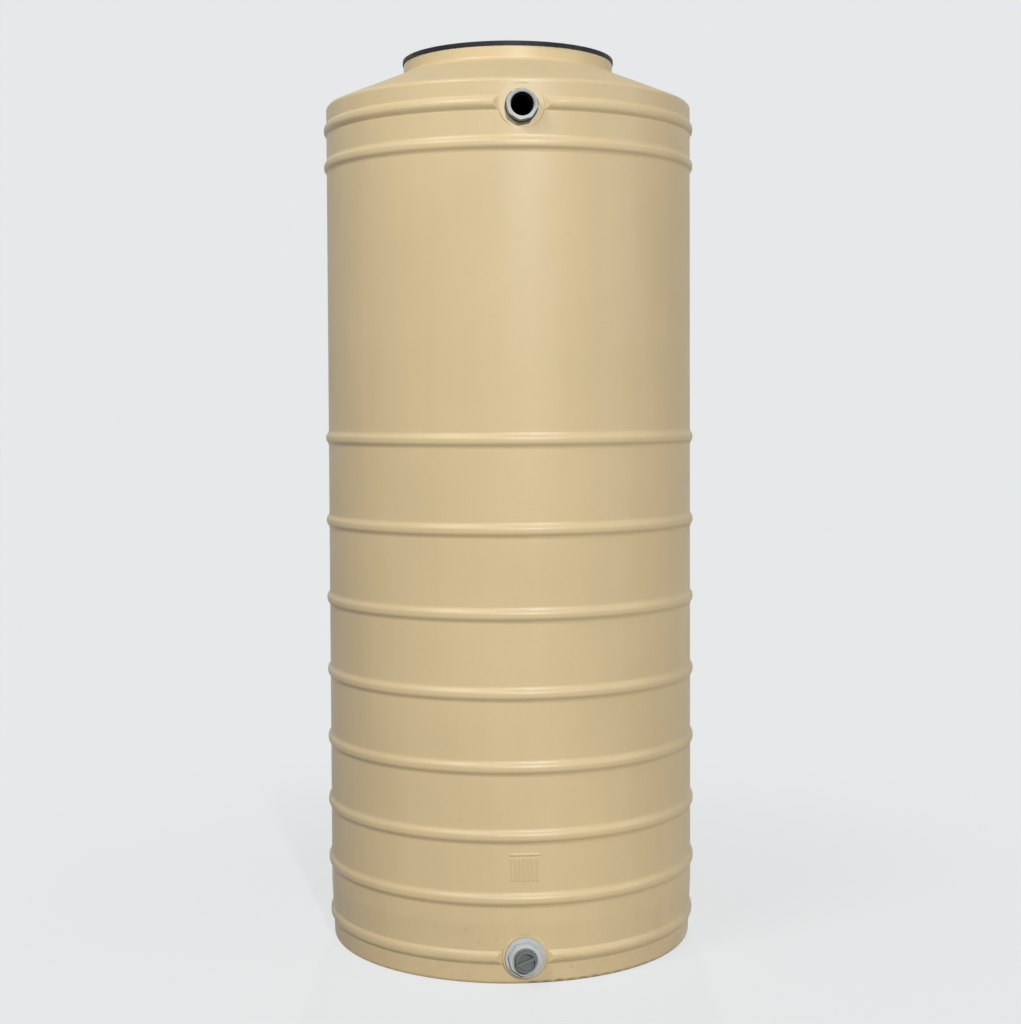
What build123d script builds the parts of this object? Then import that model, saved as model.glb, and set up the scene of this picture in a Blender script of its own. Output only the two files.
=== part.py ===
from build123d import *
import math
import os

# A tall round water tank. Millimetres, +Z up, origin at the centre of the flat floor's underside.
# Both pipe fittings face -Y. A turned form is a half section in the XZ plane, turned about Z.
# A fitting is built along Z from the face of its pad and then placed on the tank's front.

# Tank wall and foot
body_radius = 390.0
wall = 6.0
shoulder_height = 1773.5
foot_height = 120.0
foot_inset = 5.7
base_corner_radius = 8.0

# Shoulder, cone and neck
cone_rise = 69.5
neck_radius = 224.0
neck_height = 26.5
shoulder_fillet = 9.0
neck_foot_fillet = 7.0

# Ribs, by the height of their middle
rib_depth = 5.5
rib_height = 27.0
rib_land = 10.0
rib_fillet = 10.0
lowest_rib_height = 54.0
lower_rib_count = 8
first_rib_step = 114.5
rib_step_growth = 10.3
upper_rib_drop = 48.0
upper_rib_step = 77.7

# Flat pads that the fittings are clamped to, and the ribs that stop on both sides of them
pad_radius = 44.0
inner_pad_radius = 41.0
inner_pad_thickening = 2.2
pad_cut_depth = 24.0
inlet_pad_relief = 0.4
outlet_pad_relief = 1.4
pad_flare = 0.5
rib_gap = 52.0
rib_end_run = 14.0

# Pipe thread, 1 1/2 inch parallel: the plain bore is at the thread's crest
pipe_thread_pitch = 2.309
pipe_thread_bore_radius = 22.4225
thread_clearance = 0.07

# Fittings through the wall, measured out from the pad
hole_clearance = 0.6
nut_clearance = 0.1
washer_thickness = 3.0
slip_washer_thickness = 1.5
washer_rim = 6.0
inner_washer_rim = 10.0
backnut_height = 12.0
backnut_rim = 9.0
tail_end_length = 4.0
chamfer_size = 1.2
octagon_turn = -10.0

inlet_drop = 53.5
inlet_tail_radius = 26.5
inlet_flange_radius = 31.0
inlet_flange_height = 2.5
inlet_octagon_radius = 31.5
inlet_octagon_height = 14.5
inlet_thread_length = 20.0
inlet_waterway_radius = 20.0

outlet_height = 56.0
outlet_tail_radius = 29.8
outlet_flange_radius = 39.5
outlet_flange_height = 4.0
outlet_octagon_radius = 34.0
outlet_octagon_height = 10.0
outlet_mouth_radius = 25.2
outlet_mouth_height = 4.0
outlet_waterway_radius = 20.0

# Screw plug in the outlet
plug_turns = 6
plug_seal_thickness = 2.5
plug_seal_rim = 5.4
plug_seal_clearance = 0.5
plug_nose_clearance = 0.25
plug_head_radius = 20.3
plug_head_length = 16.0
plug_head_chamfer = 0.6
plug_recess_radius = 17.2
plug_recess_depth = 9.5
plug_bar_length = 35.6
plug_bar_width = 5.4
plug_bar_setback = 1.6
plug_bar_turn = 22.0

# Lid
lid_overhang = 2.0
lid_rim_height = 9.0
lid_thickness = 4.0
lid_skirt_depth = 30.0
lid_skirt_clearance = 0.7
lid_rim_land = 17.0
lid_rim_fillet = 2.0
lid_dome_rise = 12.0
lid_rib_count = 12
lid_rib_width = 6.0
lid_rib_height = 3.0
lid_rib_inset = 8.0
lid_boss_radius = 42.0
lid_boss_height = 5.0
lid_grip_length = 120.0
lid_grip_width = 16.0
lid_grip_height = 13.0
lid_grip_foot = 4.5
lid_grip_offset = 108.0
lid_grip_fillet = 4.0

# Raised mark moulded in the wall above the outlet: a row of plain upright bars under a level bar
mark_height = 207.0
mark_bar_count = 7
mark_bar_width = 4.0
mark_bar_pitch = 8.3
mark_bar_length = 45.0
mark_top_bar_gap = 5.0
mark_relief = 0.8
mark_block_depth = 6.0

# Places a solid with its foot at Z = 0
STANDING = (Align.CENTER, Align.CENTER, Align.MIN)

# Values that follow from the ones above
cone_slope = math.atan2(cone_rise, body_radius - neck_radius)
neck_foot_height = shoulder_height + cone_rise
neck_top_height = neck_foot_height + neck_height
foot_radius = body_radius - foot_inset
pad_wall = wall + inner_pad_thickening
plug_travel = plug_turns * pipe_thread_pitch
inlet_height = shoulder_height - inlet_drop


def wall_radius(height, inset=0.0):
    """Radius of the plain wall at a height, in the taper of the foot too."""
    taper = foot_inset * max(0.0, 1.0 - height / foot_height)
    return body_radius - taper - inset


def rib_heights():
    """Middles of the lower ribs, which stand closer together towards the floor."""
    heights = []
    height = lowest_rib_height
    for number in range(lower_rib_count):
        heights.append(height)
        height += first_rib_step + number * rib_step_growth
    return heights


lower_ribs = rib_heights()
outlet_rib = lower_ribs[0]
inlet_rib = shoulder_height - upper_rib_drop
plain_rib = inlet_rib - upper_rib_step
whole_ribs = lower_ribs[1:] + [plain_rib]


def rib_section(height, inset=0.0):
    """The four corners of a rib, from its lower edge up."""
    outer = wall_radius(height, inset) + rib_depth
    low = height - rib_height / 2
    high = height + rib_height / 2
    return [
        (wall_radius(low, inset), low),
        (outer, height - rib_land / 2),
        (outer, height + rib_land / 2),
        (wall_radius(high, inset), high),
    ]


def turned(points, fillets=()):
    """A solid turned about Z from a half section, with chosen corners rounded first."""
    section = make_face(Polyline([(x, 0, z) for x, z in points], close=True))
    for corners, radius in fillets:
        chosen = [
            vertex
            for vertex in section.vertices()
            if any(math.hypot(vertex.X - x, vertex.Z - z) < 0.01 for x, z in corners)
        ]
        section = section.face().fillet_2d(radius, chosen)
    return revolve(section, Axis.Z)


def tank_form(inset):
    """The tank's form as a full solid, at a distance in from its outside."""
    radius = body_radius - inset
    neck = neck_radius - inset
    cone_drop = inset / math.cos(cone_slope)
    corner = (radius, shoulder_height - cone_drop + inset * math.tan(cone_slope))
    neck_foot_rise = (body_radius - neck) * math.tan(cone_slope)
    neck_foot = (neck, shoulder_height - cone_drop + neck_foot_rise)
    neck_top = (neck, neck_top_height + inset)
    base = (foot_radius - inset, inset)
    points = [(0, inset), base, (radius, foot_height)]
    rib_edges = []
    for height in sorted(whole_ribs):
        rib_edges += rib_section(height, inset)
    points += rib_edges
    points += [corner, neck_foot, neck_top, (0, neck_top_height + inset)]
    fillets = [([base], base_corner_radius), ([corner], shoulder_fillet), ([neck_foot], neck_foot_fillet)]
    if inset == 0:
        fillets.append((rib_edges, rib_fillet))
    return turned(points, fillets)


def broken_rib(height, inset):
    """A rib that stops short of the pad on both sides, with ends that lean back from it."""
    corners = rib_section(height, inset)
    crest = corners[1:3]
    root_depth = rib_depth / 2
    root_drop = root_depth * (rib_height - rib_land) / 2 / rib_depth
    foot = (corners[0][0] - root_depth, corners[0][1] - root_drop)
    head = (corners[3][0] - root_depth, corners[3][1] + root_drop)
    rib = turned([foot, *crest, head], [(crest, rib_fillet)])
    end_lean = math.atan2(rib_depth, rib_end_run)
    half_gap = rib_gap + inset * math.tan(end_lean / 2)
    distance = wall_radius(height, inset)
    root_half_gap = half_gap - rib_end_run
    root_distance = distance - rib_depth
    far_half_gap = half_gap + 2 * rib_end_run
    far_distance = distance + 2 * rib_depth
    gap_plan = Polyline(
        (-root_half_gap, -root_distance),
        (root_half_gap, -root_distance),
        (far_half_gap, -far_distance),
        (-far_half_gap, -far_distance),
        close=True,
    )
    opening = extrude(make_face(gap_plan), 2 * rib_height)
    return rib - Pos(0, 0, height - rib_height) * opening


def facing_front(distance, height):
    """Placement on the tank's front, with local Z pointing out of the wall."""
    return Plane(origin=(0, -distance, height), x_dir=(1, 0, 0), z_dir=(0, -1, 0)).location


def upward(radius, length, start=0.0):
    """A cylinder along Z that starts at a height."""
    return Pos(0, 0, start) * Cylinder(radius, length, align=STANDING)


def ring(outer, inner, length, start=0.0):
    """A flat ring along Z that starts at a height."""
    return upward(outer, length, start) - upward(inner, length, start)


def octagon(radius, length, start):
    """An octagonal block along Z with its far corners cut back."""
    sketch = Rot(0, 0, octagon_turn) * RegularPolygon(radius, 8)
    crown_radius = radius - chamfer_size
    crown = Cone(crown_radius + length, crown_radius, length, align=STANDING)
    return Pos(0, 0, start) * (extrude(sketch, length) & crown)


def make_tank_shell():
    outside = tank_form(0.0)
    inside = tank_form(wall)
    for height in (inlet_rib, outlet_rib):
        outside += broken_rib(height, 0.0)
        inside += broken_rib(height, wall)
    for fitting in fittings.values():
        place = facing_front(fitting["pad_distance"], fitting["height"])
        flare = Cone(pad_radius + pad_flare * pad_cut_depth, pad_radius, pad_cut_depth, align=STANDING)
        outside += place * Pos(0, 0, -pad_cut_depth) * flare
        outside -= place * upward(pad_radius, pad_cut_depth)
        inside -= place * upward(inner_pad_radius, pad_wall, -pad_wall)
        inside += place * upward(inner_pad_radius, pad_cut_depth, -pad_wall - pad_cut_depth)
        hole_radius = fitting["tail_radius"] + hole_clearance
        inside += place * upward(hole_radius, 2 * pad_cut_depth, -pad_cut_depth)
    return outside - inside + raised_mark()


def raised_mark():
    """The plain bars of the moulded mark, cut from a thin band around the wall."""
    row_width = (mark_bar_count - 1) * mark_bar_pitch
    row_height = mark_height + mark_bar_length / 2
    top_height = mark_height + mark_bar_length + mark_top_bar_gap + mark_bar_width / 2
    top_width = row_width + 2 * mark_bar_width
    bars = Pos(0, -body_radius, top_height) * Box(top_width, mark_block_depth, mark_bar_width)
    for number in range(mark_bar_count):
        place = Pos(number * mark_bar_pitch - row_width / 2, -body_radius, row_height)
        bars += place * Box(mark_bar_width, mark_block_depth, mark_bar_length)
    return bars & ring(body_radius + mark_relief, body_radius - wall / 2, 2 * mark_bar_length, mark_height)


def make_lid():
    """Domed lid with a skirt inside the neck, a boss, ribs from the boss to the rim and two grips."""
    rim_radius = neck_radius + lid_overhang
    skirt_radius = neck_radius - wall - lid_skirt_clearance
    skirt_inside = skirt_radius - lid_thickness
    skirt_end = neck_top_height - lid_skirt_depth
    panel_radius = rim_radius - lid_rim_land
    top = neck_top_height + lid_rim_height
    crown = top + lid_dome_rise
    outline = [
        (0, crown + lid_boss_height),
        (lid_boss_radius, crown + lid_boss_height),
        (lid_boss_radius, crown),
        (panel_radius, top),
        (rim_radius, top),
        (rim_radius, neck_top_height),
        (skirt_radius, neck_top_height),
        (skirt_radius, skirt_end),
        (skirt_inside, skirt_end),
        (skirt_inside, top - lid_thickness),
        (lid_boss_radius, crown - lid_thickness),
        (0, crown - lid_thickness),
    ]
    lid = turned(outline, [([(rim_radius, top)], lid_rim_fillet)])
    slope = math.atan2(lid_dome_rise, panel_radius - lid_boss_radius)
    rib_length = math.hypot(lid_dome_rise, panel_radius - lid_boss_radius)
    rib = Box(rib_length, lid_rib_width, 2 * lid_rib_height, align=(Align.MIN, Align.CENTER, Align.CENTER))
    rib = Pos(lid_boss_radius, 0, crown) * Rot(0, math.degrees(slope), 0) * Pos(-lid_rib_inset, 0, 0) * rib
    for number in range(lid_rib_count):
        lid += Rot(0, 0, (number + 0.5) * 360 / lid_rib_count) * rib
    grip = Box(lid_grip_width, lid_grip_length, lid_grip_height, align=STANDING)
    grip = fillet(grip.edges().group_by(Axis.Z)[-1] + grip.edges().filter_by(Axis.Z), lid_grip_fillet)
    for side in (-1, 1):
        lid += Pos(side * lid_grip_offset, 0, top + lid_grip_foot) * grip
    return lid


def make_fitting(tail_radius, head, thread_length, waterway_radius):
    """A fitting through the wall: its head outside, a plain tail inside, a stepped bore."""
    head_height = washer_thickness
    tail_length = pad_wall + washer_thickness + slip_washer_thickness + backnut_height + tail_end_length
    fitting = upward(tail_radius, tail_length + head_height, -tail_length)
    for shape, radius, height in head:
        block = octagon if shape == "octagon" else upward
        fitting += block(radius, height, head_height)
        head_height += height
    fitting -= upward(waterway_radius, tail_length + head_height, -tail_length)
    fitting -= upward(pipe_thread_bore_radius, thread_length, head_height - thread_length)
    countersink = Cone(
        pipe_thread_bore_radius,
        pipe_thread_bore_radius + chamfer_size,
        chamfer_size,
        align=(Align.CENTER, Align.CENTER, Align.MAX),
    )
    return fitting - Pos(0, 0, head_height) * countersink


def make_backnut(tail_radius):
    bore = tail_radius + nut_clearance
    seat = -pad_wall - washer_thickness - slip_washer_thickness
    nut = octagon(tail_radius + backnut_rim, backnut_height, 0) - upward(bore, backnut_height)
    return Pos(0, 0, seat) * Rot(180, 0, 0) * nut


def make_inner_washer(tail_radius):
    start = -pad_wall - washer_thickness
    bore = tail_radius + hole_clearance
    return ring(tail_radius + inner_washer_rim, bore, washer_thickness, start)


def make_slip_washer(tail_radius):
    start = -pad_wall - washer_thickness - slip_washer_thickness
    bore = tail_radius + hole_clearance
    return ring(tail_radius + inner_washer_rim, bore, slip_washer_thickness, start)


def make_outer_washer(tail_radius, outer_radius):
    return ring(outer_radius, tail_radius + hole_clearance, washer_thickness)


def make_plug_seal():
    """Rubber ring that lies on the step at the bottom of the outlet's thread."""
    start = outlet_head_height - outlet_thread_length
    outer = pipe_thread_bore_radius - plug_seal_clearance
    return ring(outer, outer - plug_seal_rim, plug_seal_thickness, start)


def make_plug():
    """Screw plug with a nose that holds the seal, and a hollow head with a cross bar."""
    start = outlet_head_height - plug_travel
    nose_radius = pipe_thread_bore_radius - plug_seal_clearance - plug_seal_rim - plug_nose_clearance
    plug = upward(nose_radius, plug_seal_thickness, start - plug_seal_thickness)
    plug += upward(pipe_thread_bore_radius - thread_clearance, plug_travel, start)
    plug += upward(plug_head_radius, plug_head_length, outlet_head_height)
    plug = chamfer(plug.edges().group_by(Axis.Z)[-1], plug_head_chamfer)
    floor = outlet_head_height + plug_head_length - plug_recess_depth
    plug -= upward(plug_recess_radius, plug_recess_depth, floor)
    bar_height = plug_recess_depth - plug_bar_setback
    bar = Box(plug_bar_length, plug_bar_width, bar_height, align=STANDING)
    return plug + Pos(0, 0, floor) * Rot(0, 0, plug_bar_turn) * bar


inlet_head = [
    ("flange", inlet_flange_radius, inlet_flange_height),
    ("octagon", inlet_octagon_radius, inlet_octagon_height),
]
outlet_head = [
    ("flange", outlet_flange_radius, outlet_flange_height),
    ("octagon", outlet_octagon_radius, outlet_octagon_height),
    ("mouth", outlet_mouth_radius, outlet_mouth_height),
]
outlet_head_height = washer_thickness + sum(height for shape, radius, height in outlet_head)
outlet_thread_length = plug_travel + plug_seal_thickness

fittings = {
    "inlet": {
        "pad_distance": body_radius - inlet_pad_relief,
        "height": inlet_height,
        "tail_radius": inlet_tail_radius,
        "washer_radius": inlet_tail_radius + washer_rim,
        "head": inlet_head,
        "thread_length": inlet_thread_length,
        "waterway_radius": inlet_waterway_radius,
    },
    "outlet": {
        "pad_distance": body_radius - outlet_pad_relief,
        "height": outlet_height,
        "tail_radius": outlet_tail_radius,
        "washer_radius": outlet_flange_radius,
        "head": outlet_head,
        "thread_length": outlet_thread_length,
        "waterway_radius": outlet_waterway_radius,
    },
}


def save(name, shape):
    export_step(shape, f"parts/{name}.step")


os.makedirs("parts", exist_ok=True)

save("tank_shell", make_tank_shell())
save("lid", make_lid())

for name, fitting in fittings.items():
    place = facing_front(fitting["pad_distance"], fitting["height"])
    tail_radius = fitting["tail_radius"]
    body = make_fitting(tail_radius, fitting["head"], fitting["thread_length"], fitting["waterway_radius"])
    save(f"{name}_body", place * body)
    save(f"{name}_outer_washer", place * make_outer_washer(tail_radius, fitting["washer_radius"]))
    save(f"{name}_inner_washer", place * make_inner_washer(tail_radius))
    save(f"{name}_slip_washer", place * make_slip_washer(tail_radius))
    save(f"{name}_backnut", place * make_backnut(tail_radius))

outlet_place = facing_front(fittings["outlet"]["pad_distance"], outlet_height)
save("plug_seal", outlet_place * make_plug_seal())
save("outlet_plug", outlet_place * make_plug())
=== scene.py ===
import math

import bmesh
import bpy
from mathutils import Matrix, Vector


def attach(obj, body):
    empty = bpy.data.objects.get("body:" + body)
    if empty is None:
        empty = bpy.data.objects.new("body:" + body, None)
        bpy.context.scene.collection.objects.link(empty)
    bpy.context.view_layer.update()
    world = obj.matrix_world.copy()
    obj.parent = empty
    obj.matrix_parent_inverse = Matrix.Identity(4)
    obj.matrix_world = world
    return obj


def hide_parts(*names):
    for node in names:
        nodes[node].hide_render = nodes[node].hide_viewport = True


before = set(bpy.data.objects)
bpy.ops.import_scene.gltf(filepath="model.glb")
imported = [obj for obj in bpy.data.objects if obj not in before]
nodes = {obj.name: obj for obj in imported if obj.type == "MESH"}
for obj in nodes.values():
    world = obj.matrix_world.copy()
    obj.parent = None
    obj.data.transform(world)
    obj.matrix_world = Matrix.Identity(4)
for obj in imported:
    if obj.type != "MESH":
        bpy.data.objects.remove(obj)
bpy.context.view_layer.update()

# Colours, linear
SAND = (0.64, 0.506, 0.293)
SAND_DUST = (0.36, 0.25, 0.14)
LINER_BLACK = (0.012, 0.012, 0.013)
LID_BLACK = (0.008, 0.008, 0.0085)
LID_DUST = (0.30, 0.27, 0.22)
FITTING_GREY = (0.47, 0.50, 0.505)
PLUG_GREY = (0.145, 0.16, 0.16)
NUT_BLACK = (0.02, 0.02, 0.022)
# Near-black painted on the fittings' own grey bores: painted shade standing in for the dark inside of the
# bores
BORE_PAINTED_SHADE = (0.014, 0.014, 0.015)
WASHER_WHITE = (0.70, 0.70, 0.67)
RUBBER_BLACK = (0.018, 0.018, 0.018)
RUBBER_GREY = (0.30, 0.31, 0.31)
BACKDROP = (0.791, 0.807, 0.815)
FLOOR_BOUNCE = (0.30, 0.26, 0.21)
FLOOR_PALE = (0.95, 0.96, 0.97)
KEY_COLOUR = (1.0, 0.99, 0.97)
SKY_COLOUR = (0.72, 0.86, 1.0)
AMBIENT_COLOUR = (0.93, 0.97, 1.0)
WHITE = (1.0, 1.0, 1.0)

# Camera: it stands a little to the left of the fittings and looks slightly down
CAMERA_AZIMUTH = math.radians(-3.9)
CAMERA_DISTANCE = 3.7272
CAMERA_HEIGHT = 1.1474
CAMERA_PITCH = math.radians(-1.995)
CAMERA_ROLL = math.radians(0.25)
CAMERA_LENS = 60.35
CAMERA_SHIFT = (0.001, -0.0493)

# Light that no single lamp gives, and the width that a distant lamp is seen at
AMBIENT_STRENGTH = 0.02
SUN_WIDTH = math.radians(2.5)

# Tank finish, in metres; a slope is the upward share of the surface's normal
EDGE_ROUNDING = 0.0026
WAVE_DEPTH = 0.003
PEEL_DEPTH = 0.0001
DUST_TOP = 0.22
INNER_FLOOR = 0.004
WALL_FOOT = 0.02
DUSTY_SLOPE = (0.86, 0.92)
DUSTY_ROUGHNESS = 0.22

# Floor, in metres: near the tank it shows the shadow most, and far from it hardly
FLOOR_HALF = 60.0
SHADOW_NEAR = 0.4
SHADOW_FAR = 2.0
BACKDROP_SHARE_NEAR = 0.84

# Grain of the mouldings: the scale of its noise and its depth in metres
FITTING_GRAIN = (700.0, 0.00006)
PLUG_GRAIN = (800.0, 0.00007)
WASHER_GRAIN = (900.0, 0.00004)
RUBBER_GRAIN = (1200.0, 0.00008)

# Fittings, in millimetres: a pad is its distance from the axis and its height,
# and the rest is measured out from the face of the pad
INLET_PAD = (389.6, 1720.0)
OUTLET_PAD = (388.6, 56.0)
WASHER_THICKNESS = 3.0
WASHER_EDGE = 0.5
TAIL_END = -28.7
TAIL_CHAMFER = 1.2
TAIL_THREAD_DEPTH = 1.3
TAIL_THREAD_START = 2.0
OCTAGON_TURN = math.radians(-10.0)
OCTAGON_CORNER = 1.3
CROWN_CHAMFER = 1.2
THREAD_PITCH = 2.309
THREAD_CREST = 22.4225
THREAD_DEPTH = 1.478
THREAD_CLEARANCE = 0.09
THREAD_ROWS = 9
COUNTERSINK_ROWS = 5
SHARP_ANGLE = math.radians(30)
WATERWAY_RADIUS = 20.0
WATERWAY_EDGE = 0.4
WATERWAY_FLARE = 0.8


class Shader:
    """A material's node tree, with short calls for the nodes that the finishes share."""

    def __init__(self, name):
        self.material = bpy.data.materials.new(name)
        self.material.use_nodes = True
        self.tree = self.material.node_tree
        self.surface = self.tree.nodes["Principled BSDF"]
        self.position = self.add("ShaderNodeTexCoord").outputs["Object"]

    def add(self, kind, **settings):
        node = self.tree.nodes.new(kind)
        for name, value in settings.items():
            setattr(node, name, value)
        return node

    def join(self, source, target):
        if isinstance(source, (int, float)):
            target.default_value = source
        elif isinstance(source, tuple):
            target.default_value = (*source, 1.0) if len(target.default_value) == 4 else source
        else:
            self.tree.links.new(source, target)

    def math(self, operation, first, second):
        node = self.add("ShaderNodeMath", operation=operation)
        self.join(first, node.inputs[0])
        self.join(second, node.inputs[1])
        return node.outputs[0]

    def stretched(self, scale):
        node = self.add("ShaderNodeMapping")
        self.join(self.position, node.inputs["Vector"])
        self.join(scale, node.inputs["Scale"])
        return node.outputs["Vector"]

    def noise(self, scale, detail, rough, vector=None):
        node = self.add("ShaderNodeTexNoise")
        self.join(vector or self.position, node.inputs["Vector"])
        self.join(scale, node.inputs["Scale"])
        self.join(detail, node.inputs["Detail"])
        self.join(rough, node.inputs["Roughness"])
        return node.outputs[0]

    def ramp(self, value, low, high, start=0.0, end=1.0):
        node = self.add("ShaderNodeMapRange", interpolation_type="SMOOTHSTEP")
        self.join(value, node.inputs["Value"])
        self.join(low, node.inputs["From Min"])
        self.join(high, node.inputs["From Max"])
        self.join(start, node.inputs["To Min"])
        self.join(end, node.inputs["To Max"])
        return node.outputs["Result"]

    def mix(self, factor, first, second, blend="MIX"):
        node = self.add("ShaderNodeMix", data_type="RGBA", blend_type=blend)
        self.join(factor, node.inputs[0])
        self.join(first, node.inputs[6])
        self.join(second, node.inputs[7])
        return node.outputs[2]

    def shade(self, colour, amount):
        """Multiplies a colour by a number near one."""
        grey = self.add("ShaderNodeCombineColor")
        for channel in grey.inputs:
            self.join(amount, channel)
        return self.mix(1.0, colour, grey.outputs[0], blend="MULTIPLY")

    def height(self):
        split = self.add("ShaderNodeSeparateXYZ")
        self.join(self.position, split.inputs[0])
        return split.outputs["Z"]

    def normal(self):
        return self.add("ShaderNodeNewGeometry").outputs["Normal"]

    def upward(self):
        """One where the surface faces straight up."""
        split = self.add("ShaderNodeSeparateXYZ")
        self.join(self.normal(), split.inputs[0])
        return split.outputs["Z"]

    def outward(self):
        """One where the surface faces away from the tank's axis, and minus one where it faces the axis."""
        flat = self.add("ShaderNodeVectorMath", operation="MULTIPLY")
        self.join(self.position, flat.inputs[0])
        self.join((1.0, 1.0, 0.0), flat.inputs[1])
        radial = self.add("ShaderNodeVectorMath", operation="NORMALIZE")
        self.join(flat.outputs[0], radial.inputs[0])
        dot = self.add("ShaderNodeVectorMath", operation="DOT_PRODUCT")
        self.join(radial.outputs[0], dot.inputs[0])
        self.join(self.normal(), dot.inputs[1])
        return dot.outputs["Value"]

    def edges(self, radius):
        """Near one along the edges of the form, and zero on its faces."""
        bevel = self.add("ShaderNodeBevel", samples=6)
        self.join(radius, bevel.inputs["Radius"])
        dot = self.add("ShaderNodeVectorMath", operation="DOT_PRODUCT")
        self.join(bevel.outputs[0], dot.inputs[0])
        self.join(self.normal(), dot.inputs[1])
        return self.ramp(dot.outputs["Value"], 0.995, 0.85)

    def relief(self, layers, rounding=None):
        """Bumps from pairs of a height and its size in metres, on edges that look rounded."""
        normal = None
        if rounding is not None:
            bevel = self.add("ShaderNodeBevel", samples=8)
            self.join(rounding, bevel.inputs["Radius"])
            normal = bevel.outputs[0]
        for height, distance in layers:
            bump = self.add("ShaderNodeBump")
            bump.inputs["Strength"].default_value = 1.0
            bump.inputs["Distance"].default_value = distance
            self.join(height, bump.inputs["Height"])
            if normal is not None:
                self.join(normal, bump.inputs["Normal"])
            normal = bump.outputs[0]
        self.join(normal, self.surface.inputs["Normal"])

    def finish(self, colour, roughness, specular=0.5):
        self.join(colour, self.surface.inputs["Base Color"])
        self.join(roughness, self.surface.inputs["Roughness"])
        self.surface.inputs["Specular IOR Level"].default_value = specular
        return self.material


def tank_finish():
    """Sand polyethylene outside, black inside.

    Faint mottling, upright flow streaks, dust at the foot, a dusty cone and a soft orange-peel skin.
    """
    s = Shader("tank_sand")
    mottling = s.ramp(s.noise(3.2, 4.0, 0.55), 0.3, 0.7, 0.975, 1.02)
    streaks = s.ramp(s.noise(1.0, 5.0, 0.6, s.stretched((16.0, 16.0, 0.9))), 0.3, 0.75, 0.985, 1.012)
    speckle = s.ramp(s.noise(420.0, 2.0, 0.6), 0.3, 0.7, 0.985, 1.012)
    colour = s.shade(SAND, s.math("MULTIPLY", s.math("MULTIPLY", mottling, streaks), speckle))
    low = s.ramp(s.height(), DUST_TOP, 0.0)
    patches = s.ramp(s.noise(17.0, 6.0, 0.65), 0.42, 0.72)
    colour = s.mix(s.math("MULTIPLY", s.math("MULTIPLY", low, patches), 0.16), colour, SAND_DUST)
    marks = s.ramp(s.noise(60.0, 2.0, 0.4), 0.71, 0.76)
    colour = s.mix(s.math("MULTIPLY", s.math("MULTIPLY", low, marks), 0.32), colour, SAND_DUST)
    facing_axis = s.ramp(s.outward(), -0.05, -0.15)
    near_floor = s.ramp(s.height(), WALL_FOOT + 0.01, WALL_FOOT)
    on_floor = s.math("MULTIPLY", s.ramp(s.outward(), 0.3, 0.1), near_floor)
    inner_floor = s.math("MULTIPLY", on_floor, s.ramp(s.height(), INNER_FLOOR, INNER_FLOOR + 0.001))
    colour = s.mix(s.math("MAXIMUM", facing_axis, inner_floor), colour, LINER_BLACK)
    dusty_top = s.ramp(s.upward(), *DUSTY_SLOPE, 0.0, DUSTY_ROUGHNESS)
    roughness = s.math("ADD", s.ramp(s.noise(9.0, 5.0, 0.6), 0.3, 0.7, 0.38, 0.46), dusty_top)
    waves = s.noise(1.0, 2.0, 0.5, s.stretched((7.0, 7.0, 3.0)))
    s.relief([(waves, WAVE_DEPTH), (s.noise(240.0, 2.0, 0.5), PEEL_DEPTH)], rounding=EDGE_ROUNDING)
    return s.finish(colour, roughness, 0.5)


def moulded_finish(name, colour, roughness, grain, edge_shade=1.25, specular=0.5):
    """A moulded plastic or rubber: slight cloudiness, and edges rubbed a little lighter.

    The grain is a pair: the scale of its noise and its depth in metres.
    """
    s = Shader(name)
    clouds = s.ramp(s.noise(28.0, 4.0, 0.6), 0.3, 0.7, 0.93, 1.06)
    speckle = s.ramp(s.noise(900.0, 2.0, 0.6), 0.3, 0.7, 0.96, 1.03)
    edge = s.ramp(s.edges(0.0012), 0.0, 1.0, 1.0, edge_shade)
    tone = s.math("MULTIPLY", s.math("MULTIPLY", clouds, speckle), edge)
    rough = s.ramp(s.noise(60.0, 4.0, 0.6), 0.3, 0.7, roughness - 0.06, roughness + 0.08)
    grain_scale, grain_depth = grain
    s.relief([(s.noise(grain_scale, 2.0, 0.5), grain_depth)])
    return s.finish(s.shade(colour, tone), rough, specular)


def lid_finish():
    """Black lid: moulded grain, a film of pale dust on what faces up, and fine scuffs."""
    s = Shader("lid_black")
    upward = s.ramp(s.upward(), 0.5, 1.0)
    dust = s.math("MULTIPLY", upward, s.ramp(s.noise(11.0, 7.0, 0.65), 0.35, 0.75, 0.03, 0.16))
    scuffs = s.ramp(s.noise(1.0, 4.0, 0.7, s.stretched((90.0, 900.0, 90.0))), 0.62, 0.70, 0.0, 0.12)
    colour = s.mix(s.math("ADD", dust, s.math("MULTIPLY", scuffs, upward)), LID_BLACK, LID_DUST)
    roughness = s.ramp(s.noise(35.0, 4.0, 0.6), 0.3, 0.7, 0.42, 0.58)
    s.relief([(s.noise(500.0, 2.0, 0.5), 0.00012)])
    return s.finish(colour, roughness, 0.25)


def paint(names, material):
    for name in names:
        piece = nodes[name]
        piece.data.materials.clear()
        piece.data.materials.append(material)


def on_both_sides(piece):
    return [f"inlet_{piece}", f"outlet_{piece}"]


def dress_nodes():
    paint(["tank_shell"], tank_finish())
    paint(["lid"], lid_finish())
    paint(on_both_sides("body"), fitting_grey)
    paint(on_both_sides("backnut"), moulded_finish("nut_black", NUT_BLACK, 0.4, FITTING_GRAIN))
    paint(on_both_sides("slip_washer"), moulded_finish("washer_white", WASHER_WHITE, 0.4, WASHER_GRAIN))
    rubber = moulded_finish("rubber_black", RUBBER_BLACK, 0.62, RUBBER_GRAIN)
    paint([*on_both_sides("inner_washer"), "inlet_outer_washer", "plug_seal"], rubber)
    paint(["outlet_outer_washer"], moulded_finish("rubber_grey", RUBBER_GREY, 0.6, RUBBER_GRAIN))
    paint(["outlet_plug"], plug_grey)


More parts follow.
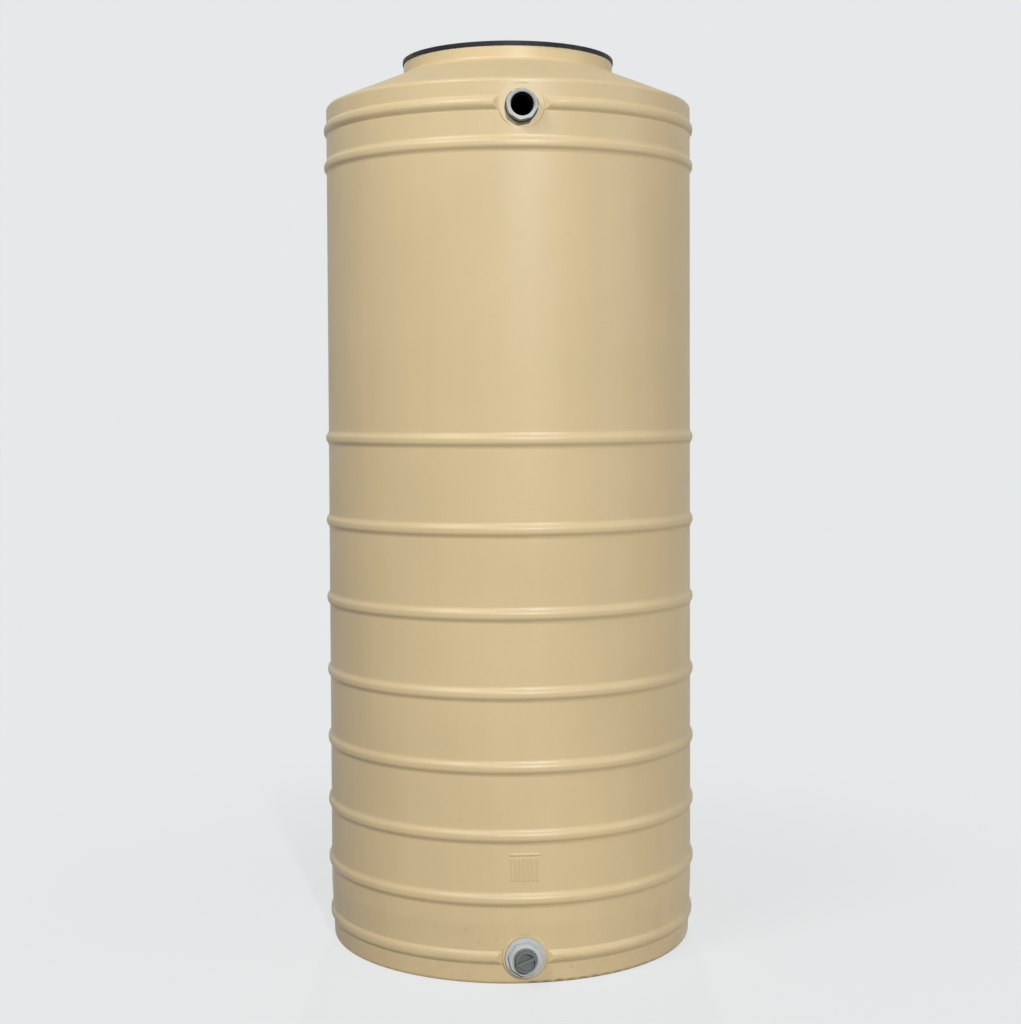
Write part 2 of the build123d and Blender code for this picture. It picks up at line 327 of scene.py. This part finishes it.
def fitting_columns():
    """Angles round a fitting, closer together at the octagon's corners."""
    half_sector = [0.0, 0.7, 1.4, 2.2, 3.2, 4.8, 7.0, 10.0, 13.2, 16.4, 19.5, 22.5]
    sector = half_sector + [45.0 - angle for angle in reversed(half_sector[1:-1])]
    return [OCTAGON_TURN + math.radians(45.0 * side + angle) for side in range(8) for angle in sector]


def octagon_radius(angle, circumradius):
    """Distance from the axis to an octagon with rounded corners."""
    half = math.pi / 8
    apothem = circumradius * math.cos(half)
    from_corner = (angle - OCTAGON_TURN + half) % (2 * half) - half
    from_middle = half - abs(from_corner)
    arc_centre = (apothem - OCTAGON_CORNER) / math.cos(half)
    if math.tan(from_middle) < arc_centre * math.sin(half) / apothem:
        return apothem / math.cos(from_middle)
    across = arc_centre * math.sin(from_corner)
    return arc_centre * math.cos(from_corner) + math.sqrt(OCTAGON_CORNER ** 2 - across ** 2)


def thread_wave(angle, along):
    """One helix for every thread: zero at the crest of a bore's thread and one at its root."""
    return 0.5 - 0.5 * math.cos(2 * math.pi * (along / THREAD_PITCH - angle / (2 * math.pi)))


def fade(value, start, end):
    share = min(1.0, max(0.0, (value - start) / (end - start)))
    return share * share * (3.0 - 2.0 * share)


def steps(start, end, count):
    return [start + (end - start) * number / count for number in range(count + 1)]


def thread_steps(start, end):
    return steps(start, end, max(2, round(abs(end - start) / THREAD_PITCH * THREAD_ROWS)))


def plain(radius):
    return lambda angle, along: radius


def rounded(along, radius, size, along_sign, radius_sign, from_face):
    """Rows of a quarter round at a corner of the profile, from a face to a side or the other way."""
    rows = []
    for number in range(5):
        turn = math.pi / 2 * (number if from_face else 4 - number) / 4
        row_along = along - along_sign * size * (1 - math.cos(turn))
        row_radius = radius - radius_sign * size * (1 - math.sin(turn))
        rows.append((row_along, plain(row_radius)))
    return rows


def placed(point, pad):
    """From a fitting's own x, y and distance out of the pad to the tank's frame, in metres."""
    x, y, along = point
    distance, height = pad
    return (x / 1000, -(distance + along) / 1000, (height + y) / 1000)


def turned_mesh(name, rows, pad, capped=False, bore_start=None):
    """A tube from rows, each at a distance along the axis with a radius that may follow the angle."""
    columns = fitting_columns()
    form = bmesh.new()
    grid = []
    for along, radius, *soft in rows:
        ring = []
        for angle in columns:
            r = radius(angle, along)
            ring.append(form.verts.new(placed((r * math.cos(angle), r * math.sin(angle), along), pad)))
        grid.append(ring)
    last = len(grid) - 1 if capped else len(grid)
    for row in range(last):
        here, there = grid[row], grid[(row + 1) % len(grid)]
        for column in range(len(columns)):
            beside = (column + 1) % len(columns)
            face = form.faces.new((here[column], here[beside], there[beside], there[column]))
            # Bore faces past the countersink take the second material, the bores' painted shade
            face.material_index = int(bore_start is not None and row >= bore_start)
    if capped:
        form.faces.new(grid[0][::-1])
        form.faces.new(grid[-1])
    bmesh.ops.recalc_face_normals(form, faces=form.faces)
    soft = {vertex for ring, row in zip(grid, rows) if len(row) == 3 for vertex in ring}
    for face in form.faces:
        face.smooth = True
    for edge in form.edges:
        in_thread = all(vertex in soft for vertex in edge.verts)
        edge.smooth = in_thread or edge.calc_face_angle(0.0) < SHARP_ANGLE
    data = bpy.data.meshes.new(name)
    form.to_mesh(data)
    form.free()
    return data


def add_piece(name, data, materials, node, body):
    piece = bpy.data.objects.new(name, data)
    bpy.context.scene.collection.objects.link(piece)
    for material in materials:
        data.materials.append(material)
    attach(piece, body)
    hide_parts(node)


def bore_rows(thread_start, head_top):
    """Rows of the bore from the mouth inward: the thread, its run-out, the step and the waterway."""
    def threaded(angle, along):
        depth = THREAD_DEPTH * fade(along, thread_start, thread_start + THREAD_PITCH)
        mouth = THREAD_CREST + CROWN_CHAMFER - (head_top - along)
        return max(THREAD_CREST + depth * thread_wave(angle, along), mouth)

    rows = [(along, threaded, "soft") for along in thread_steps(head_top, thread_start)]
    rows.append((thread_start, plain(WATERWAY_RADIUS + WATERWAY_EDGE)))
    rows.append((thread_start - WATERWAY_EDGE, plain(WATERWAY_RADIUS)))
    waterway = steps(thread_start - 4.0, TAIL_END + WATERWAY_FLARE, 4)
    rows += [(along, plain(WATERWAY_RADIUS)) for along in waterway]
    rows.append((TAIL_END, plain(WATERWAY_RADIUS + WATERWAY_FLARE)))
    return rows


def tail_rows(tail_radius):
    """Rows of the tail from its end to the pad: a thread that runs out behind the washer."""
    def threaded(angle, along):
        depth = TAIL_THREAD_DEPTH * fade(-along, TAIL_THREAD_START, TAIL_THREAD_START + THREAD_PITCH)
        end = tail_radius - TAIL_CHAMFER + (along - TAIL_END)
        return min(tail_radius - depth * thread_wave(angle, along), end)

    return [(along, threaded, "soft") for along in thread_steps(TAIL_END, -0.5)]


def octagon_rows(circumradius, foot, top):
    def cut(angle, along):
        return min(octagon_radius(angle, circumradius), circumradius - CROWN_CHAMFER + (top - along))

    rows = [(foot, cut)]
    rows += [(along, cut) for along in steps(foot + 0.3, top - 2 * CROWN_CHAMFER, 3)]
    rows += [(along, cut) for along in steps(top - 1.6 * CROWN_CHAMFER, top, 5)]
    return rows


def make_inlet(materials):
    tail_radius, flange_radius, octagon = 26.5, 31.0, 31.5
    flange_top = WASHER_THICKNESS + 2.5
    top = flange_top + 14.5
    rows = tail_rows(tail_radius)
    rows.append((WASHER_THICKNESS, plain(tail_radius)))
    rows += rounded(WASHER_THICKNESS, flange_radius, WASHER_EDGE, -1, 1, True)
    rows.append((flange_top, plain(flange_radius)))
    rows += octagon_rows(octagon, flange_top, top)
    # The bore past the countersink is painted near-black: painted shade
    bore_start = len(rows) + COUNTERSINK_ROWS
    rows += bore_rows(0.0, top)
    data = turned_mesh("inlet_fitting", rows, INLET_PAD, bore_start=bore_start)
    add_piece("inlet_fitting", data, materials, "inlet_body", "tank")


def make_outlet(materials):
    tail_radius, flange_radius, octagon, mouth_radius = 29.8, 39.5, 34.0, 25.2
    flange_top = WASHER_THICKNESS + 4.0
    octagon_top = flange_top + 10.0
    top = octagon_top + 4.0
    thread_length = 16.354
    flange_edge, mouth_edge = 0.7, 0.6
    mouth_fillet, fillet_middle = 0.8, 0.25
    rows = tail_rows(tail_radius)
    rows.append((WASHER_THICKNESS, plain(tail_radius)))
    rows += rounded(WASHER_THICKNESS, flange_radius, WASHER_EDGE, -1, 1, True)
    rows += rounded(flange_top, flange_radius, flange_edge, 1, 1, False)
    rows += octagon_rows(octagon, flange_top, octagon_top)
    rows.append((octagon_top, plain(mouth_radius + mouth_fillet)))
    rows.append((octagon_top + fillet_middle, plain(mouth_radius + fillet_middle)))
    rows.append((octagon_top + mouth_fillet, plain(mouth_radius)))
    rows += rounded(top, mouth_radius, mouth_edge, 1, 1, False)
    # The bore past the countersink is painted near-black: painted shade
    bore_start = len(rows) + COUNTERSINK_ROWS
    rows += bore_rows(top - thread_length, top)
    data = turned_mesh("outlet_fitting", rows, OUTLET_PAD, bore_start=bore_start)
    add_piece("outlet_fitting", data, materials, "outlet_body", "tank")


def joined(first, second):
    """One closed mesh from two that overlap."""
    scratch = bpy.data.objects.new("scratch", first)
    other = bpy.data.objects.new("scratch_other", second)
    for piece in (scratch, other):
        bpy.context.scene.collection.objects.link(piece)
    union = scratch.modifiers.new("union", "BOOLEAN")
    union.operation = "UNION"
    union.solver = "EXACT"
    union.object = other
    shaped = scratch.evaluated_get(bpy.context.evaluated_depsgraph_get())
    result = bpy.data.meshes.new_from_object(shaped)
    bpy.data.objects.remove(scratch)
    bpy.data.objects.remove(other)
    return result


def bar_mesh(pad, foot, height, length, width, turn, rounding):
    """The cross bar in the plug's head, with its upper edges rounded."""
    form = bmesh.new()
    bmesh.ops.create_cube(form, size=1.0)
    bmesh.ops.scale(form, vec=(length, width, height), verts=form.verts)
    top = max(vertex.co.z for vertex in form.verts)
    upper = [edge for edge in form.edges if all(vertex.co.z == top for vertex in edge.verts)]
    bmesh.ops.bevel(form, geom=upper, offset=rounding, segments=3, affect="EDGES", profile=0.5)
    turned = Matrix.Rotation(turn, 4, "Z")
    for vertex in form.verts:
        spot = turned @ vertex.co
        vertex.co = placed((spot.x, spot.y, spot.z + foot + height / 2), pad)
    bmesh.ops.recalc_face_normals(form, faces=form.faces)
    data = bpy.data.meshes.new("bar")
    form.to_mesh(data)
    form.free()
    return data


def make_plug(material):
    seal_seat, thread_start, thread_end = 4.646, 7.146, 21.0
    start_radius, end_radius = 21.2, 22.5
    nose_radius, nose_edge = 16.27, 0.4
    head_radius, head_top, head_fillet = 20.3, 37.0, 0.3
    rim_edge, recess_edge = 0.8, 0.6
    recess_radius, floor = 17.2, 27.5
    bar_length, bar_width, bar_height, bar_rounding = 35.6, 5.4, 7.9, 0.7
    bar_turn, bar_overlap = math.radians(22.0), 1.0

    def threaded(angle, along):
        depth = THREAD_DEPTH * fade(along, thread_start, thread_start + THREAD_PITCH)
        radius = THREAD_CREST - THREAD_CLEARANCE + depth * thread_wave(angle, along)
        return min(radius, start_radius + (along - thread_start), end_radius + (thread_end - along))

    rows = [(seal_seat, plain(nose_radius - nose_edge)), (seal_seat + nose_edge, plain(nose_radius))]
    rows.append((thread_start, plain(nose_radius)))
    rows += [(along, threaded, "soft") for along in thread_steps(thread_start, thread_end)]
    rows.append((thread_end, plain(head_radius + head_fillet)))
    rows.append((thread_end + head_fillet, plain(head_radius)))
    rows += [(along, plain(head_radius)) for along in steps(25.0, 33.0, 2)]
    rows += rounded(head_top, head_radius, rim_edge, 1, 1, False)
    rows += rounded(head_top, recess_radius, recess_edge, 1, -1, True)
    rows += [(32.0, plain(recess_radius)), (floor + 0.6, plain(recess_radius))]
    rows += [(floor + 0.15, plain(recess_radius - 0.2)), (floor, plain(recess_radius - 0.6))]
    head = turned_mesh("plug_head", rows, OUTLET_PAD, capped=True)
    foot, height = floor - bar_overlap, bar_height + bar_overlap
    bar = bar_mesh(OUTLET_PAD, foot, height, bar_length, bar_width, bar_turn, bar_rounding)
    data = joined(head, bar)
    data.name = "threaded_plug"
    add_piece("threaded_plug", data, [material], "outlet_plug", "outlet_plug")


def seen_share(tree):
    """One for what the camera sees, also in a reflection or through something clear, and zero for light."""
    paths = tree.nodes.new("ShaderNodeLightPath")
    share = paths.outputs["Is Camera Ray"]
    for path in ("Is Glossy Ray", "Is Transmission Ray"):
        either = tree.nodes.new("ShaderNodeMath")
        either.operation = "MAXIMUM"
        tree.links.new(share, either.inputs[0])
        tree.links.new(paths.outputs[path], either.inputs[1])
        share = either.outputs[0]
    return share


def make_floor():
    """Pale floor that meets the backdrop without a line and keeps the tank's shadow."""
    mesh = bpy.data.meshes.new("floor")
    corners = [(x * FLOOR_HALF, y * FLOOR_HALF, 0.0) for x, y in ((-1, -1), (1, -1), (1, 1), (-1, 1))]
    mesh.from_pydata(corners, [], [(0, 1, 2, 3)])
    floor = bpy.data.objects.new("floor", mesh)
    bpy.context.scene.collection.objects.link(floor)
    s = Shader("floor_pale")
    s.tree.nodes.remove(s.surface)
    output = s.tree.nodes["Material Output"]
    lit = s.add("ShaderNodeBsdfDiffuse")
    plain = s.add("ShaderNodeEmission")
    plain.inputs["Color"].default_value = (*BACKDROP, 1.0)
    distance = s.add("ShaderNodeVectorMath", operation="LENGTH")
    s.join(s.position, distance.inputs[0])
    far = s.ramp(distance.outputs["Value"], SHADOW_NEAR, SHADOW_FAR, BACKDROP_SHARE_NEAR, 1.0)
    seen = seen_share(s.tree)
    s.join(s.mix(seen, FLOOR_BOUNCE, FLOOR_PALE), lit.inputs["Color"])
    blend = s.add("ShaderNodeMixShader")
    s.join(s.math("MULTIPLY", far, seen), blend.inputs[0])
    s.join(lit.outputs[0], blend.inputs[1])
    s.join(plain.outputs[0], blend.inputs[2])
    s.join(blend.outputs[0], output.inputs["Surface"])
    mesh.materials.append(s.material)


def make_world():
    world = bpy.data.worlds.new("studio")
    bpy.context.scene.world = world
    world.use_nodes = True
    tree = world.node_tree
    light = tree.nodes["Background"]
    light.inputs["Color"].default_value = (*AMBIENT_COLOUR, 1.0)
    light.inputs["Strength"].default_value = AMBIENT_STRENGTH
    shown = tree.nodes.new("ShaderNodeBackground")
    shown.inputs["Color"].default_value = (*BACKDROP, 1.0)
    blend = tree.nodes.new("ShaderNodeMixShader")
    tree.links.new(seen_share(tree), blend.inputs[0])
    tree.links.new(light.outputs[0], blend.inputs[1])
    tree.links.new(shown.outputs[0], blend.inputs[2])
    tree.links.new(blend.outputs[0], tree.nodes["World Output"].inputs["Surface"])


def around(azimuth, distance, height):
    """A point round the tank: azimuth 0 is in front of the fittings, and positive is to their right."""
    angle = math.radians(azimuth)
    return Vector((distance * math.sin(angle), -distance * math.cos(angle), height))


def add_lamp(name, place, target_height, size, power, colour=WHITE):
    """A lamp of a size across and up, in metres, aimed at a height on the tank's axis, its power in watts."""
    lamp = bpy.data.lights.new(name, "AREA")
    lamp.shape = "RECTANGLE"
    lamp.size, lamp.size_y = size
    lamp.energy = power
    lamp.color = colour
    piece = bpy.data.objects.new(name, lamp)
    piece.location = place
    aim = Vector((0.0, 0.0, target_height)) - place
    piece.rotation_euler = aim.to_track_quat("-Z", "Y").to_euler()
    bpy.context.scene.collection.objects.link(piece)


def add_sun(name, azimuth, elevation, strength, colour=WHITE):
    """A distant lamp, its azimuth and elevation in degrees."""
    lamp = bpy.data.lights.new(name, "SUN")
    lamp.energy = strength
    lamp.angle = SUN_WIDTH
    lamp.color = colour
    piece = bpy.data.objects.new(name, lamp)
    rise = math.tan(math.radians(elevation))
    piece.rotation_euler = around(azimuth, 1.0, rise).to_track_quat("Z", "Y").to_euler()
    bpy.context.scene.collection.objects.link(piece)


def make_lamps():
    """A low sun nearly in front, fills at both sides, a strip for the sheen and a rim from behind."""
    add_sun("key_sun", 10, 25, 2.12, KEY_COLOUR)
    add_lamp("strip_lamp", around(3, 6.0, 3.6), 1.3, (0.4, 2.4), 22, SKY_COLOUR)
    add_lamp("left_lamp", around(-47, 3.6, 4.6), 1.4, (1.0, 1.0), 70)
    add_lamp("left_front_lamp", around(-35, 4.5, 4.4), 1.3, (1.0, 1.0), 47)
    add_lamp("right_lamp", around(70, 6.0, 2.4), 1.0, (1.5, 2.6), 40)
    add_sun("back_sun", 176, 12, 1.6)


def make_camera():
    camera = bpy.data.cameras.new("camera")
    camera.sensor_width = 36.0
    camera.lens = CAMERA_LENS
    camera.shift_x, camera.shift_y = CAMERA_SHIFT
    camera.clip_end = 200.0
    piece = bpy.data.objects.new("camera", camera)
    azimuth = math.degrees(CAMERA_AZIMUTH)
    place = Matrix.Translation(around(azimuth, CAMERA_DISTANCE, CAMERA_HEIGHT))
    upright = Matrix.Rotation(CAMERA_AZIMUTH, 4, "Z") @ Matrix.Rotation(math.pi / 2 + CAMERA_PITCH, 4, "X")
    roll = Matrix.Rotation(-CAMERA_ROLL, 4, "Z")
    piece.matrix_world = place @ upright @ roll
    bpy.context.scene.collection.objects.link(piece)
    bpy.context.scene.camera = piece


fitting_grey = moulded_finish("fitting_grey", FITTING_GREY, 0.5, FITTING_GRAIN, 1.08, 0.35)
plug_grey = moulded_finish("plug_grey", PLUG_GREY, 0.5, PLUG_GRAIN, 1.05, 0.35)
dress_nodes()
# Painted shade: the fittings' bores are the same grey plastic, coloured near-black where they lie in shade
bore_painted_shade = moulded_finish("bore_painted_shade", BORE_PAINTED_SHADE, 0.6, FITTING_GRAIN, 1.0, 0.2)
make_inlet([fitting_grey, bore_painted_shade])
make_outlet([fitting_grey, bore_painted_shade])
make_plug(plug_grey)
make_floor()
make_world()
make_lamps()
make_camera()
bpy.context.scene.view_settings.view_transform = "Standard"
